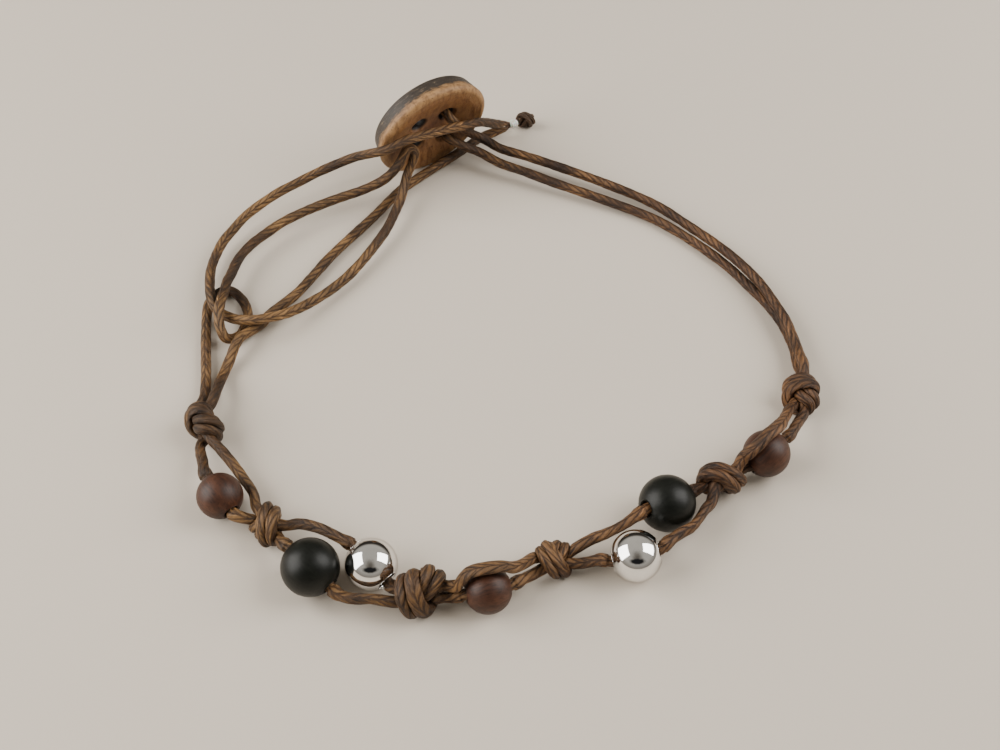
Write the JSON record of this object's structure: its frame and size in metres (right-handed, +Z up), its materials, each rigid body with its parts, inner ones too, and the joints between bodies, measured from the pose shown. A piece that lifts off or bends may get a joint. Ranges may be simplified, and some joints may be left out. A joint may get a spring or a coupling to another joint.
{
  "type": "bead bracelet",
  "caption": "Knotted waxed-cord bracelet with round wooden and silver-coloured beads, closed by a loop of its own cord over a dished coconut-shell button.",
  "frame": {"origin": "middle of the bounding box in X and Y, on the surface that the bracelet lies on", "axes": "+Z up from the surface, +Y away from the viewer towards the button, +X to the viewer's right"},
  "size_m": [0.0708, 0.0758, 0.0147],
  "materials": {
    "cord": "braided and waxed, soft sheen",
    "dark_cord": "braided and waxed, dark, pressed into a small knot",
    "binding_thread": "smooth, slightly translucent wrap",
    "black_wood": "stained black, satin",
    "brown_wood": "reddish-brown grain, satin varnish",
    "silver_metal": "polished mirror",
    "coconut_shell": "polished tan face with fine flecks, dark rim edge"
  },
  "bodies": {
    "root": {"button": "coconut_shell", "button_fold": "cord", "right_outer_strand": "cord", "right_inner_strand": "cord", "knot_6": "cord", "strand_6_5_bead": "cord", "strand_6_5_over": "cord", "brown_bead_right": "brown_wood", "knot_5": "cord", "strand_5_4_black": "cord", "strand_5_4_silver": "cord", "black_bead_right": "black_wood", "silver_bead_right": "silver_metal", "knot_4": "cord", "strand_4_3_over": "cord", "strand_4_3_bead": "cord", "brown_bead_middle": "brown_wood", "knot_3": "cord", "strand_3_2_silver": "cord", "strand_3_2_black": "cord", "silver_bead_left": "silver_metal", "black_bead_left": "black_wood", "knot_2": "cord", "strand_2_1_bead": "cord", "strand_2_1_inner": "cord", "brown_bead_left": "brown_wood", "knot_1": "cord", "small_loop_strand": "cord", "spare_loop_strand": "cord", "closing_front_strand": "cord", "closing_back_strand": "cord", "binding": "binding_thread", "end_knot": "dark_cord"}
  },
  "joints": []
}
